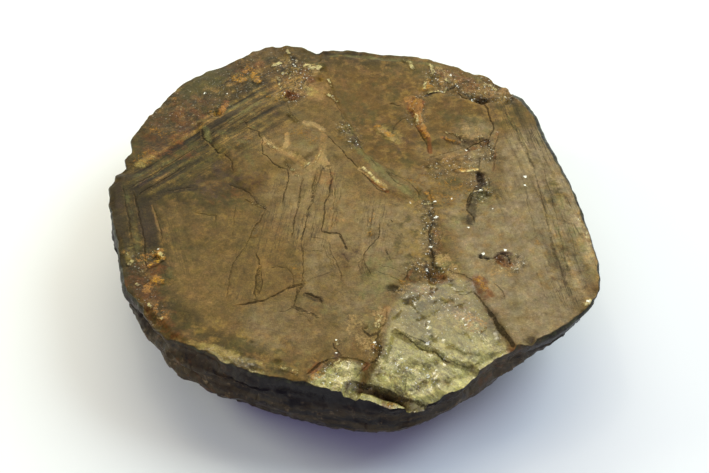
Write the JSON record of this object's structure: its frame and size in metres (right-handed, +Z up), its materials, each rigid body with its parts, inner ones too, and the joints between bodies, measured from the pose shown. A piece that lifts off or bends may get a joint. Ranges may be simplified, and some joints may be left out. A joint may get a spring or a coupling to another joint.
{
  "type": "rough sapphire crystal",
  "caption": "Rough sapphire: a thick tabular hexagonal crystal with a flat bronze-olive top, cracks, glassy chips and dark undercut sides, resting on a flat face.",
  "frame": {"origin": "middle of the bounding box at the rest face", "axes": "+Z up out of the flat top face, -Y towards the side with the large chip, +X towards the straight edge with fine growth lines"},
  "size_m": [0.052, 0.0538, 0.011],
  "materials": {
    "sapphire": "satin basal face, glassy on fresh chips, rough and dark on the sides"
  },
  "bodies": {
    "root": {"sapphire_crystal": "sapphire"}
  },
  "joints": []
}
